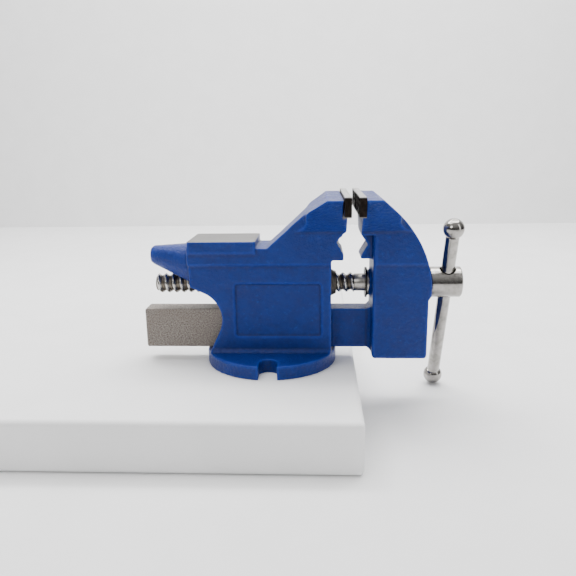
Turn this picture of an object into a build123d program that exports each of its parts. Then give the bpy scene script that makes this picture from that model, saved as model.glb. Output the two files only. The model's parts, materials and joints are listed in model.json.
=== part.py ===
from build123d import *
import math
import os

# A 100 mm (4 inch) fixed-base bench vise in cast iron, seen in its own frame: the origin is the centre
# of the base's underside, +Z is up and +X runs along the screw from the horn to the handle.
# All sizes are in millimetres.

# ---- base
BASE_DIAMETER = 111.5
BASE_THICKNESS = 11.6
BASE_RELIEF = 2.5          # depth of the hollow under the base
BASE_RIM = 9.0             # width of the ring that the base stands on
SLOT_WIDTH = 15.0          # open bolt slots, front and back, for 12 mm bolts
SLOT_DEPTH = 18.0
RIM_ROUND = 1.2

# ---- slide bar, and the channel it runs in
BAR_WIDTH = 18.0
BAR_HEIGHT = 34.0
BAR_LENGTH = 194.1         # from the sliding jaw's inner face to the bar's bare end
BAR_LIFT = 1.0             # bar above the top of the base
SLIDE_CLEARANCE = 0.3

# ---- levels above the bar
SCREW_RISE = 21.1          # bar's top to the screw's axis
LEDGE_RISE = 17.5          # screw's axis to the ledge under the upper body
DECK_RISE = 15.6           # ledge to the floor between anvil and jaw
ANVIL_RISE = 6.2           # deck to the anvil's face
CREASE_RISE = 13.0         # deck to the line where the jaw's ends start to flare out
JAW_RISE = 42.9            # deck to the top of the jaw plates

# ---- widths, front to back
SIDE_WALL = 11.8           # body wall beside the bar
BAND_STEP = 1.7            # upper body stands out from the lower one
ANVIL_STEP = 1.4           # anvil stands out from the upper body
BLOCK_WALL = 12.5          # sliding jaw's wall beside the bar
JAW_WIDTH = 100.0

# ---- lengths along the screw
FOOT_INSET = 0.3           # body's foot, in from the base's rim
JAW_OVERHANG = 14.6        # fixed jaw's face beyond the body's front
JAW_GAP = 5.8              # opening between the plates at rest
NECK_REACH = 67.0          # jaw's face back to the foot of the sloping neck
DECK_LENGTH = 9.5
ANVIL_LENGTH = 56.0
HORN_LENGTH = 35.4
HORN_TIP = 16.0            # horn's thickness at its tip
THROAT_RADIUS = 24.7
BLOCK_SETBACK = 13.4       # sliding jaw's block behind its face
BLOCK_LENGTH = 46.0
BLOCK_DROP = 6.6           # block's underside below the bar
PAD_STEP = 2.8             # outer pad that the screw's head bears on

# ---- jaw plates and their screws
PLATE_THICKNESS = 5.5
PLATE_HEIGHT = 15.6
PLATE_CHAMFER = 0.4
PLATE_PROUD = 2.3          # plate above the casting
FIXED_SHOULDER_STEP = 3.1  # casting under the plate stands out from the plate's seat
SLIDING_SHOULDER_STEP = 1.9
PLATE_SCREW_SPACING = 56.0
PLATE_SCREW_DIAMETER = 6.0
PLATE_SCREW_HEAD = 11.6
PLATE_SCREW_LENGTH = 15.0
PLATE_SCREW_HEX = 4.0

# ---- lead screw: single-start rolled round thread, right-handed
THREAD_DIAMETER = 17.0
THREAD_DEPTH = 2.1
THREAD_PITCH = 6.35
THREAD_CLEARANCE = 0.15
THREAD_LENGTH = 169.4
NECK_DIAMETER = 15.0
NECK_LENGTH = 9.2
SHANK_CLEARANCE = 0.1
SCREW_HEAD_DIAMETER = 26.0
SCREW_HEAD_LENGTH = 26.3
SEAT_CLEARANCE = 0.3       # axial play between pieces that turn on each other
CLIP_THICKNESS = 1.5
CLIP_GROOVE_DEPTH = 0.8
CLIP_DIAMETER = 26.0
WASHER_THICKNESS = 1.5
WASHER_DIAMETER = 22.0
BOSS_HEIGHT = 1.8

# ---- nut
NUT_DIAMETER = 23.0
NUT_FRONT_WALL = 15.4      # body wall that the nut is held in
NUT_NOSE = 4.3             # nut's nose beyond the body's front
NUT_TAPER = 2.1
NUT_COLLAR = 28.0          # square collar, across the flats
NUT_COLLAR_LENGTH = 8.0
NUT_FIT = 0.05
SET_SCREW_DIAMETER = 6.0
SET_SCREW_BITE = 2.5

# ---- handle
HANDLE_DIAMETER = 11.0
HANDLE_CLEARANCE = 0.8
HANDLE_UP = 51.2           # screw's axis to the upper knob's centre
HANDLE_DOWN = 106.2        # screw's axis to the lower knob's centre
HANDLE_TILT = 21.7         # degrees from upright, top towards -Y
HANDLE_FROM_END = 11.8     # cross hole back from the head's outer end
KNOB_DIAMETER = 17.0
KNOB_FLAT = 0.6

# ---- places that follow
BASE_RADIUS = BASE_DIAMETER / 2
BODY_HALF = BAR_WIDTH / 2 + SIDE_WALL
BAND_HALF = BODY_HALF + BAND_STEP
ANVIL_HALF = BAND_HALF + ANVIL_STEP
BLOCK_HALF = BAR_WIDTH / 2 + BLOCK_WALL
JAW_HALF = JAW_WIDTH / 2

BAR_BOTTOM = BASE_THICKNESS + BAR_LIFT
BAR_TOP = BAR_BOTTOM + BAR_HEIGHT
SCREW_Z = BAR_TOP + SCREW_RISE
LEDGE_Z = SCREW_Z + LEDGE_RISE
DECK_Z = LEDGE_Z + DECK_RISE
ANVIL_Z = DECK_Z + ANVIL_RISE
CREASE_Z = DECK_Z + CREASE_RISE
PLATE_TOP = DECK_Z + JAW_RISE
PLATE_BOTTOM = PLATE_TOP - PLATE_HEIGHT
JAW_TOP = PLATE_TOP - PLATE_PROUD

BODY_FRONT = math.sqrt(BASE_RADIUS**2 - BODY_HALF**2) - FOOT_INSET
FIXED_FACE = BODY_FRONT + JAW_OVERHANG
FIXED_SEAT = FIXED_FACE - PLATE_THICKNESS
FIXED_SHOULDER = FIXED_SEAT + FIXED_SHOULDER_STEP
NECK_FOOT = FIXED_FACE - NECK_REACH
ANVIL_END = NECK_FOOT - DECK_LENGTH
ANVIL_START = ANVIL_END - ANVIL_LENGTH
HORN_END = ANVIL_START - HORN_LENGTH

SLIDING_FACE = FIXED_FACE + JAW_GAP
SLIDING_SEAT = SLIDING_FACE + PLATE_THICKNESS
SLIDING_SHOULDER = SLIDING_SEAT - SLIDING_SHOULDER_STEP
BLOCK_INNER = SLIDING_FACE + BLOCK_SETBACK
BLOCK_OUTER = BLOCK_INNER + BLOCK_LENGTH
BLOCK_BOTTOM = BAR_BOTTOM - BLOCK_DROP
PAD_X = BLOCK_OUTER + PAD_STEP
BAR_END = BLOCK_INNER - BAR_LENGTH

THREAD_RADIUS = THREAD_DIAMETER / 2
HEAD_START = PAD_X + SEAT_CLEARANCE
HEAD_END = HEAD_START + SCREW_HEAD_LENGTH
HANDLE_X = HEAD_END - HANDLE_FROM_END
BOSS_FACE = BLOCK_INNER - BOSS_HEIGHT
CLIP_FACE = BOSS_FACE - WASHER_THICKNESS - SEAT_CLEARANCE
THREAD_END = CLIP_FACE - CLIP_THICKNESS - NECK_LENGTH
THREAD_START = THREAD_END - THREAD_LENGTH


def outline(corners):
    """Closed face from corners (x, y), (x, y, round) or (x, y, 0, leave).

    round is the corner's radius. leave is the direction in which an arc leaves that corner for the
    next one, in place of a straight edge.
    """
    entries, exits, bends = [], [], []
    for i, corner in enumerate(corners):
        here = Vector(*corner[:2])
        radius = corner[2] if len(corner) > 2 else 0
        if not radius:
            entries.append(here)
            exits.append(here)
            bends.append(None)
            continue
        back = (Vector(*corners[i - 1][:2]) - here).normalized()
        ahead = (Vector(*corners[(i + 1) % len(corners)][:2]) - here).normalized()
        half = math.radians(back.get_angle(ahead)) / 2
        entries.append(here + back * (radius / math.tan(half)))
        exits.append(here + ahead * (radius / math.tan(half)))
        bends.append(here + (back + ahead).normalized() * (radius / math.sin(half) - radius))
    edges = []
    for i, corner in enumerate(corners):
        if bends[i]:
            edges.append(ThreePointArc(entries[i], bends[i], exits[i]))
        after = entries[(i + 1) % len(corners)]
        if len(corner) > 3:
            edges.append(TangentArc(exits[i], after, tangent=Vector(*corner[3])))
        else:
            edges.append(Line(exits[i], after))
    return make_face(edges)


def side_slab(face, half_width):
    """Prism of an X-Z outline, equally far to the front and the back."""
    return extrude(Plane.XZ * face, amount=half_width, both=True)


def long_bar(face, length=400):
    """Prism of a Y-Z outline, long enough to pass right through the vise along X."""
    return extrude(Plane.YZ * face, amount=length, both=True)


def x_cylinder(radius, start, end, y=0.0, z=SCREW_Z):
    """Round bar along X from start to end."""
    return Pos(start, y, z) * (Plane.YZ * extrude(Circle(radius), amount=end - start))


def x_cone(start_radius, end_radius, start, end, z=SCREW_Z):
    """Round taper along X from start to end."""
    cone = Cone(start_radius, end_radius, end - start)
    return Pos((start + end) / 2, 0, z) * (Plane.YZ * cone)


def saw_teeth(start, end, count, height):
    """Corners of a row of teeth along a flank, standing out to the right of its direction."""
    run = Vector(*end) - Vector(*start)
    out = Vector(run.Y, -run.X).normalized() * height
    corners = []
    for i in range(1, 2 * count):
        place = Vector(*start) + run * (i / (2 * count)) + (out if i % 2 else Vector(0, 0))
        corners.append((place.X, place.Y))
    return corners


def thread_rod(crest_radius, start, end):
    """Rod with a round single-start thread: an off-centre circle, twisted once for each pitch."""
    middle = crest_radius - THREAD_DEPTH / 2
    spokes = [Vector(middle, 0).rotate(Axis.Z, 60 * i + 15) for i in range(6)]
    thirds = [ThreePointArc(spokes[i], spokes[i + 1], spokes[(i + 2) % 6]) for i in (0, 2, 4)]
    turn = 360 * (start - THREAD_START) / THREAD_PITCH
    section = Plane.YZ * Rot(0, 0, turn) * Pos(THREAD_DEPTH / 2, 0) * make_face(thirds)
    twisted = Solid.extrude_linear_with_rotation(
        section.faces()[0],
        center=(0, 0, 0),
        normal=(end - start, 0, 0),
        angle=360 * (end - start) / THREAD_PITCH,
    )
    return Pos(start, 0, SCREW_Z) * twisted


# ---- jaw shapes that both castings share
EAR_TOP_LENGTH = 12.8      # flat on top of the jaw, behind the plate
FIXED_SLOPE = (14.0, 9.2)  # run and drop of the facet behind that flat
SLIDING_SLOPE = (12.9, 11.6)
EAR_BACK = 2.7             # end of the jaw, behind the facet
EAR_ROUND = 9.0
EAR_CORNER = 5.0
EAR_EDGE = 1.0             # upright strip at the very end of the jaw
FLARE_LENGTH = 11.0
FLARE_WIDTH = 11.0


def jaw_section():
    """Jaw seen along the screw: both ends flare out at 45 degrees from a crease on the body's sides."""
    half = BAND_HALF
    flare_top = JAW_TOP - EAR_EDGE
    return long_bar(
        outline(
            [
                (-half, CREASE_Z),
                (half, CREASE_Z),
                (JAW_HALF, flare_top),
                (JAW_HALF, PLATE_TOP),
                (-JAW_HALF, PLATE_TOP),
                (-JAW_HALF, flare_top),
            ]
        )
    )


def ear(seat, out, shoulder, slope):
    """Full-width end of a jaw, behind its plate. out is -1 for the fixed jaw and 1 for the sliding."""
    facet_end = seat + out * (EAR_TOP_LENGTH + slope[0])
    facet_z = JAW_TOP - slope[1]
    back = facet_end + out * EAR_BACK
    face = seat - out * shoulder
    shape = side_slab(
        outline(
            [
                (face, CREASE_Z),
                (face, PLATE_BOTTOM),
                (seat, PLATE_BOTTOM),
                (seat, JAW_TOP),
                (seat + out * EAR_TOP_LENGTH, JAW_TOP),
                (facet_end, facet_z),
                (back, facet_z - EAR_BACK),
                (back, CREASE_Z, EAR_ROUND),
            ]
        ),
        JAW_HALF,
    )
    plan = outline(
        [
            (face, -JAW_HALF),
            (back, -JAW_HALF, EAR_CORNER),
            (back, JAW_HALF, EAR_CORNER),
            (face, JAW_HALF),
        ]
    )
    return shape & jaw_section() & extrude(plan, amount=PLATE_TOP)


def flare(seat, out, slope):
    """Hollow curve that widens the casting to the ends of the jaw, front and back."""
    back = seat + out * (EAR_TOP_LENGTH + slope[0] + EAR_BACK)
    tip = back + out * FLARE_LENGTH
    front = seat + out * EAR_TOP_LENGTH
    inner = BAND_HALF - 1
    sides = []
    for side in (-1, 1):
        plan = outline(
            [
                (tip, side * BAND_HALF, 0, (-out, 0)),
                (back - out, side * (BAND_HALF + FLARE_WIDTH)),
                (front, side * (BAND_HALF + FLARE_WIDTH)),
                (front, side * inner),
                (tip, side * inner),
            ]
        )
        sides.append(extrude(plan, amount=PLATE_TOP))
    return (sides[0] + sides[1]) & jaw_section()


def plate_screw_places():
    """Front-to-back places of the two screws of a jaw plate."""
    return [-PLATE_SCREW_SPACING / 2, PLATE_SCREW_SPACING / 2]


PLATE_SCREW_Z = PLATE_TOP - PLATE_HEIGHT / 2


def plate_screw(face, inward, y, growth=0.0):
    """Countersunk screw through a plate. inward is the way it goes, growth makes its own hole."""
    radius = PLATE_SCREW_DIAMETER / 2 + growth
    head = PLATE_SCREW_HEAD / 2 + growth
    depth = head - radius
    lip = 0.4
    profile = [
        (0, lip),
        (head, lip),
        (head, lip + 0.4),
        (radius, lip + 0.4 + depth),
        (radius, PLATE_SCREW_LENGTH),
        (0, PLATE_SCREW_LENGTH),
    ]
    if growth:
        profile = [(0, -1), (head, -1)] + profile[2:]
    shape = revolve(outline(profile), Axis.Y, 360)
    return Pos(face, y, PLATE_SCREW_Z) * Rot(0, 0, -90 * inward) * shape


# ============================================================ vise body
def vise_body():
    """One iron casting: round base, body, horn, anvil and fixed jaw, with its machined holes."""
    base = extrude(Circle(BASE_RADIUS), amount=BASE_THICKNESS)
    base = fillet(base.edges().group_by(Axis.Z)[-1], RIM_ROUND)

    foot_rear = -BODY_FRONT
    underside = (ANVIL_START, SCREW_Z + 0.5)
    throat = (foot_rear + 19.6, BAR_TOP + 5.6)
    lower = side_slab(
        outline(
            [
                (BODY_FRONT, BASE_THICKNESS / 2),
                (BODY_FRONT, LEDGE_Z + 1),
                (ANVIL_START, LEDGE_Z + 1),
                underside,
                throat + (THROAT_RADIUS,),
                (foot_rear, BASE_THICKNESS),
                (foot_rear, BASE_THICKNESS / 2),
            ]
        ),
        BODY_HALF,
    )
    skirt_width = 3.0
    skirt = loft(
        [
            Pos(0, 0, BASE_THICKNESS) * Rectangle(2 * BODY_FRONT, 2 * (BODY_HALF + skirt_width)),
            Pos(0, 0, BASE_THICKNESS + skirt_width) * Rectangle(2 * BODY_FRONT - 4, 2 * BODY_HALF),
        ]
    )
    skirt &= extrude(Circle(BASE_RADIUS - FOOT_INSET), amount=BASE_THICKNESS + skirt_width)

    # upper body: pipe jaw, fixed jaw's core and sloping neck, with an undercut ledge below
    v_bottom = LEDGE_Z + 5.1
    v_low = (FIXED_FACE - 4.6, LEDGE_Z + 9.3)
    v_apex = (FIXED_FACE - 11.2, LEDGE_Z + 20.3)
    v_high = (FIXED_SHOULDER, LEDGE_Z + 30.2)
    slope_end = FIXED_SEAT - EAR_TOP_LENGTH - FIXED_SLOPE[0]
    slope_z = JAW_TOP - FIXED_SLOPE[1]
    upper = side_slab(
        outline(
            [
                (BODY_FRONT, LEDGE_Z),
                (BODY_FRONT, v_bottom),
                (FIXED_FACE - 4.6, v_bottom),
                v_low,
                *saw_teeth(v_low, v_apex, 3, 0.9),
                v_apex,
                *saw_teeth(v_apex, v_high, 3, 0.9),
                v_high,
                (FIXED_SHOULDER, PLATE_BOTTOM),
                (FIXED_SEAT, PLATE_BOTTOM),
                (FIXED_SEAT, JAW_TOP),
                (FIXED_SEAT - EAR_TOP_LENGTH, JAW_TOP),
                (slope_end, slope_z),
                (NECK_FOOT, DECK_Z, 2.5),
                (ANVIL_START - 1, DECK_Z),
                (ANVIL_START - 1, LEDGE_Z, 3.0),
            ]
        ),
        BAND_HALF,
    )
    upper &= long_bar(
        outline(
            [
                (-BODY_HALF, LEDGE_Z),
                (BODY_HALF, LEDGE_Z),
                (BAND_HALF, LEDGE_Z + 2.3),
                (BAND_HALF, PLATE_TOP),
                (-BAND_HALF, PLATE_TOP),
                (-BAND_HALF, LEDGE_Z + 2.3),
            ]
        )
    )
    anvil = side_slab(
        outline(
            [
                (ANVIL_START, DECK_Z - 5.8),
                (ANVIL_END, DECK_Z - 5.8, 2.0),
                (ANVIL_END, ANVIL_Z),
                (ANVIL_START, ANVIL_Z),
            ]
        ),
        ANVIL_HALF,
    )
    anvil &= long_bar(
        outline(
            [
                (-BAND_HALF, DECK_Z - 5.8),
                (BAND_HALF, DECK_Z - 5.8),
                (ANVIL_HALF, DECK_Z - 3.4),
                (ANVIL_HALF, ANVIL_Z),
                (-ANVIL_HALF, ANVIL_Z),
                (-ANVIL_HALF, DECK_Z - 3.4),
            ]
        )
    )

    # horn: round-backed taper from the anvil's end, closing to a blunt tip
    root_height = DECK_Z + 1.2 - underside[1]
    root_z = underside[1] + root_height / 2
    tip_z = DECK_Z - 8.4
    root_width = 2 * BODY_HALF - 2.0
    sections = [
        (ANVIL_START + 1, root_z, root_width, root_height, 15.0),
        (HORN_END + 2.5, tip_z, HORN_TIP, HORN_TIP, 7.0),
        (HORN_END, tip_z, HORN_TIP - 4, HORN_TIP - 4, 5.0),
    ]
    faces = [
        Pos(x, 0, z) * (Plane.YZ * RectangleRounded(wide, high, radius))
        for x, z, wide, high, radius in sections
    ]
    horn = loft([faces[0], faces[1]], ruled=True) + loft([faces[1], faces[2]], ruled=True)

    # neck side of the flares follows the neck's slope
    neck_slope = side_slab(
        outline(
            [
                (NECK_FOOT, DECK_Z),
                (slope_end, slope_z),
                (FIXED_SEAT - EAR_TOP_LENGTH, JAW_TOP),
                (FIXED_SEAT - EAR_TOP_LENGTH, DECK_Z),
            ]
        ),
        JAW_HALF,
    )
    casting = base + lower + skirt + upper + anvil + horn
    casting += ear(FIXED_SEAT, -1, FIXED_SHOULDER_STEP, FIXED_SLOPE)
    casting += flare(FIXED_SEAT, -1, FIXED_SLOPE) & neck_slope

    # channel for the bar, hollow behind the nut, way out for the screw
    channel_half = BAR_WIDTH / 2 + SLIDE_CLEARANCE
    casting -= long_bar(
        outline(
            [
                (-channel_half, BAR_BOTTOM - SLIDE_CLEARANCE),
                (channel_half, BAR_BOTTOM - SLIDE_CLEARANCE),
                (channel_half, BAR_TOP + SLIDE_CLEARANCE),
                (-channel_half, BAR_TOP + SLIDE_CLEARANCE),
            ]
        )
    )
    wall_back = BODY_FRONT - NUT_FRONT_WALL
    collar_half = NUT_COLLAR / 2 + NUT_FIT
    casting -= side_slab(
        outline(
            [
                (wall_back, BAR_TOP),
                (wall_back, SCREW_Z + collar_half),
                (ANVIL_START + 18, SCREW_Z + collar_half),
                (ANVIL_START + 4, SCREW_Z + 4),
                (ANVIL_START - 4, BAR_TOP),
            ]
        ),
        collar_half,
    )
    casting -= x_cylinder(THREAD_RADIUS + 1.3, HORN_END - 1, wall_back)
    casting -= x_cylinder(NUT_DIAMETER / 2 + NUT_FIT, wall_back - 1, BODY_FRONT + 1)
    set_screw_x = wall_back - NUT_COLLAR_LENGTH / 2
    casting -= Pos(set_screw_x, 0, SCREW_Z) * (
        Plane.XZ * extrude(Circle(SET_SCREW_DIAMETER / 2 + NUT_FIT), amount=-BODY_HALF - 1)
    )

    # shallow panel on both sides
    panel_depth = 1.4
    panel_start = foot_rear + 22.8
    panel_end = BODY_FRONT - 8.4
    panel = Rectangle(panel_end - panel_start, SCREW_Z + 3.1 - BASE_THICKNESS - 14.0)
    panel_place = Pos((panel_start + panel_end) / 2, (SCREW_Z + 3.1 + BASE_THICKNESS + 14.0) / 2)
    panel = panel_place * fillet(panel.vertices(), 2.5)
    for side in (-1, 1):
        casting -= Pos(0, side * BODY_HALF, 0) * side_slab(panel, panel_depth)

    # bolt slots and the hollow under the base
    for side in (-1, 1):
        inner = BASE_RADIUS - SLOT_DEPTH + SLOT_WIDTH / 2
        slot = Pos(0, side * inner) * Circle(SLOT_WIDTH / 2)
        slot += Pos(0, side * (inner + SLOT_DEPTH)) * Rectangle(SLOT_WIDTH, 2 * SLOT_DEPTH)
        casting -= extrude(slot, amount=BASE_THICKNESS + 4)
    relief = Circle(BASE_RADIUS - BASE_RIM)
    for side in (-1, 1):
        pad = SLOT_WIDTH + 2 * BASE_RIM
        relief -= Pos(0, side * BASE_RADIUS) * Rectangle(pad, 2 * (SLOT_DEPTH + BASE_RIM))
    casting -= extrude(relief, amount=BASE_RELIEF)

    for y in plate_screw_places():
        casting -= plate_screw(FIXED_FACE, -1, y, growth=NUT_FIT)
    return casting


# ============================================================ sliding jaw
def sliding_jaw():
    """One iron casting: jaw, block and the square bar that slides through the body."""
    pad_low = SCREW_Z - 11.2
    slope_end = SLIDING_SEAT + EAR_TOP_LENGTH + SLIDING_SLOPE[0]
    slope_z = JAW_TOP - SLIDING_SLOPE[1]
    profile = outline(
        [
            (BLOCK_INNER, BLOCK_BOTTOM, 3.5),
            (BLOCK_OUTER, BLOCK_BOTTOM, 3.5),
            (BLOCK_OUTER, pad_low),
            (PAD_X, pad_low + 4, 0, (0, 1)),
            (slope_end + 1.0, slope_z - 1.0),
            (slope_end, slope_z),
            (SLIDING_SEAT + EAR_TOP_LENGTH, JAW_TOP),
            (SLIDING_SEAT, JAW_TOP),
            (SLIDING_SEAT, PLATE_BOTTOM),
            (SLIDING_SHOULDER, PLATE_BOTTOM),
            (SLIDING_SHOULDER, CREASE_Z - 2.8),
            (BLOCK_INNER, CREASE_Z - 2.8),
        ]
    )
    block = side_slab(profile, BLOCK_HALF + 1)
    block &= long_bar(
        outline(
            [
                (-BLOCK_HALF, BLOCK_BOTTOM, 1.5),
                (BLOCK_HALF, BLOCK_BOTTOM, 1.5),
                (BLOCK_HALF, LEDGE_Z),
                (BLOCK_HALF + 1, LEDGE_Z + 2.3),
                (BLOCK_HALF + 1, PLATE_TOP),
                (-BLOCK_HALF - 1, PLATE_TOP),
                (-BLOCK_HALF - 1, LEDGE_Z + 2.3),
                (-BLOCK_HALF, LEDGE_Z),
            ]
        )
    )
    corners = Pos((BLOCK_INNER + PAD_X) / 2, 0) * RectangleRounded(
        PAD_X - BLOCK_INNER, 2 * BLOCK_HALF + 2, 3.5
    )
    jaw_zone = Pos((SLIDING_SHOULDER + PAD_X) / 2, 0, CREASE_Z - 2.8) * extrude(
        Rectangle(PAD_X - SLIDING_SHOULDER, JAW_WIDTH), amount=PLATE_TOP - CREASE_Z + 2.8
    )
    block &= extrude(corners, amount=PLATE_TOP) + jaw_zone

    # narrow pipe jaw
    v_tip = SLIDING_FACE + 3.8
    pipe_jaw = side_slab(
        outline(
            [
                (BLOCK_INNER + 1, LEDGE_Z + 5.1),
                (v_tip, LEDGE_Z + 5.1, 1.2),
                (v_tip, LEDGE_Z + 7.3),
                (SLIDING_FACE + 9.4, LEDGE_Z + 17.0),
                (SLIDING_SHOULDER, LEDGE_Z + 25.8),
                (SLIDING_SHOULDER, CREASE_Z + 1),
                (BLOCK_INNER + 1, CREASE_Z + 1),
            ]
        ),
        14.0,
    )
    casting = block + pipe_jaw + ear(SLIDING_SEAT, 1, SLIDING_SHOULDER_STEP, SLIDING_SLOPE)
    casting += flare(SLIDING_SEAT, 1, SLIDING_SLOPE) & side_slab(profile, JAW_HALF)

    bar = Pos((BAR_END + BLOCK_INNER + 5) / 2, 0, (BAR_BOTTOM + BAR_TOP) / 2) * Box(
        BLOCK_INNER + 5 - BAR_END, BAR_WIDTH, BAR_HEIGHT
    )
    bar = chamfer(bar.faces().sort_by(Axis.X)[0].edges(), 1.0)
    root = 3.5
    collar = loft(
        [
            Pos(BLOCK_INNER - root, 0, (BAR_BOTTOM + BAR_TOP) / 2)
            * (Plane.YZ * Rectangle(BAR_WIDTH, BAR_HEIGHT)),
            Pos(BLOCK_INNER + 1, 0, (BAR_BOTTOM + BAR_TOP) / 2)
            * (Plane.YZ * Rectangle(BAR_WIDTH + 2 * root, BAR_HEIGHT + 2 * root)),
        ]
    )
    boss = x_cone(WASHER_DIAMETER / 2 + 0.5, WASHER_DIAMETER / 2 + 3, BOSS_FACE, BLOCK_INNER)
    casting += bar + collar + boss

    casting -= x_cylinder(THREAD_RADIUS + SHANK_CLEARANCE, BOSS_FACE - 1, PAD_X + 5)
    casting -= x_cylinder(SCREW_HEAD_DIAMETER / 2 + 1, PAD_X, PAD_X + 10)
    for y in plate_screw_places():
        casting -= plate_screw(SLIDING_FACE, 1, y, growth=NUT_FIT)
    return casting


# ============================================================ jaw plates
def jaw_plate(face, inward):
    """Hardened steel plate with two countersunk holes."""
    plate = Pos(face + inward * PLATE_THICKNESS / 2, 0, PLATE_SCREW_Z) * Box(
        PLATE_THICKNESS, JAW_WIDTH, PLATE_HEIGHT
    )
    plate = chamfer(plate.edges(), PLATE_CHAMFER)
    for y in plate_screw_places():
        plate -= plate_screw(face, inward, y, growth=NUT_FIT)
    return plate


def socket_screw(face, inward, y):
    """Plate screw with a hexagon socket in its head."""
    socket = extrude(RegularPolygon(PLATE_SCREW_HEX / 2, 6, major_radius=False), amount=3.0)
    turn = Rot(0, -90 * -inward, 0)
    return plate_screw(face, inward, y) - Pos(face, y, PLATE_SCREW_Z) * turn * socket


# ============================================================ nut and its screw
def screw_nut():
    """Iron nut: round body in the front wall, square collar behind it, chamfered nose."""
    wall_back = BODY_FRONT - NUT_FRONT_WALL
    start = wall_back - NUT_COLLAR_LENGTH
    nut = x_cylinder(NUT_DIAMETER / 2, start, BODY_FRONT)
    nose_radius = NUT_DIAMETER / 2 - NUT_TAPER
    nut += x_cone(NUT_DIAMETER / 2, nose_radius, BODY_FRONT, BODY_FRONT + NUT_NOSE)
    nut += Pos(start + NUT_COLLAR_LENGTH / 2, 0, SCREW_Z) * Box(
        NUT_COLLAR_LENGTH, NUT_COLLAR, NUT_COLLAR
    )
    nut -= thread_rod(THREAD_RADIUS + THREAD_CLEARANCE, start - 2, BODY_FRONT + NUT_NOSE + 2)
    dimple = NUT_COLLAR / 2 - SET_SCREW_BITE
    nut -= Pos(start + NUT_COLLAR_LENGTH / 2, dimple, SCREW_Z) * (
        Plane.XZ * extrude(Circle(SET_SCREW_DIAMETER / 2 + NUT_FIT), amount=-BODY_HALF)
    )
    return nut


def nut_set_screw():
    """Headless screw through the far wall of the body, into the nut's collar."""
    x = BODY_FRONT - NUT_FRONT_WALL - NUT_COLLAR_LENGTH / 2
    start = NUT_COLLAR / 2 - SET_SCREW_BITE
    length = BODY_HALF - 0.5 - start
    body = Plane.XZ * extrude(Circle(SET_SCREW_DIAMETER / 2), amount=-length)
    socket = Plane.XZ * extrude(RegularPolygon(1.5, 6, major_radius=False), amount=-3.0)
    return Pos(x, start, SCREW_Z) * (body - Pos(0, length - 2.5, 0) * socket)


# ============================================================ lead screw and what holds it in
HANDLE_AXIS = Vector(
    0, -math.sin(math.radians(HANDLE_TILT)), math.cos(math.radians(HANDLE_TILT))
)


def along_handle(shape, distance):
    """Places a shape built along +Z on the handle's axis, at a distance up from the screw's axis."""
    centre = Vector(HANDLE_X, 0, SCREW_Z) + HANDLE_AXIS * distance
    return Pos(*centre) * Rot(HANDLE_TILT, 0, 0) * shape


def lead_screw():
    """Steel screw: rolled thread, necked end with a clip groove, shank and drilled head."""
    groove = CLIP_FACE - CLIP_THICKNESS
    screw = thread_rod(THREAD_RADIUS, THREAD_START, THREAD_END)
    lead_in = 3.0
    blank = x_cone(THREAD_RADIUS - 2.2, THREAD_RADIUS + 0.8, THREAD_START, THREAD_START + lead_in)
    blank += x_cylinder(THREAD_RADIUS + 0.8, THREAD_START + lead_in, THREAD_END)
    screw = screw & blank
    core = THREAD_RADIUS - THREAD_DEPTH - 0.2
    screw += x_cylinder(core, THREAD_END - 2, groove)
    screw += x_cylinder(NECK_DIAMETER / 2, THREAD_END, groove)
    screw += x_cylinder(NECK_DIAMETER / 2 - CLIP_GROOVE_DEPTH, groove - 1, CLIP_FACE + 1)
    screw += x_cylinder(THREAD_RADIUS, CLIP_FACE, HEAD_START + 1)
    head = x_cylinder(SCREW_HEAD_DIAMETER / 2, HEAD_START, HEAD_END)
    screw += chamfer(head.edges(), 1.0)
    hole = Cylinder(HANDLE_DIAMETER / 2 + HANDLE_CLEARANCE, 2 * SCREW_HEAD_DIAMETER)
    return screw - along_handle(hole, 0)


def retaining_clip():
    """Spring clip pushed sideways into the screw's groove."""
    inner = NECK_DIAMETER / 2 - CLIP_GROOVE_DEPTH + NUT_FIT
    clip = x_cylinder(CLIP_DIAMETER / 2, CLIP_FACE - CLIP_THICKNESS, CLIP_FACE)
    clip -= x_cylinder(inner, CLIP_FACE - CLIP_THICKNESS - 1, CLIP_FACE + 1)
    mouth = Pos(CLIP_FACE - CLIP_THICKNESS / 2, CLIP_DIAMETER / 2, SCREW_Z) * Box(
        CLIP_THICKNESS + 1, CLIP_DIAMETER, 1.7 * inner
    )
    return clip - mouth


def thrust_washer():
    """Plain washer between the clip and the sliding jaw, lying on the clip."""
    washer = x_cylinder(WASHER_DIAMETER / 2, CLIP_FACE, CLIP_FACE + WASHER_THICKNESS)
    return washer - x_cylinder(THREAD_RADIUS + SHANK_CLEARANCE, BOSS_FACE - 9, BOSS_FACE + 1)


# ============================================================ handle
SPIGOT_RADIUS = HANDLE_DIAMETER / 2 - 2.0
SPIGOT_LENGTH = KNOB_DIAMETER / 2


def handle_bar():
    """Plain round bar, turned down at both ends for the knobs."""
    shoulder = math.sqrt((KNOB_DIAMETER / 2) ** 2 - (HANDLE_DIAMETER / 2) ** 2)
    low = -HANDLE_DOWN + shoulder
    high = HANDLE_UP - shoulder
    bar = Pos(0, 0, (low + high) / 2) * Cylinder(HANDLE_DIAMETER / 2, high - low)
    spigots = Pos(0, 0, (low + high) / 2) * Cylinder(
        SPIGOT_RADIUS, high - low + 2 * SPIGOT_LENGTH
    )
    return along_handle(bar + spigots, 0)


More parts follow.
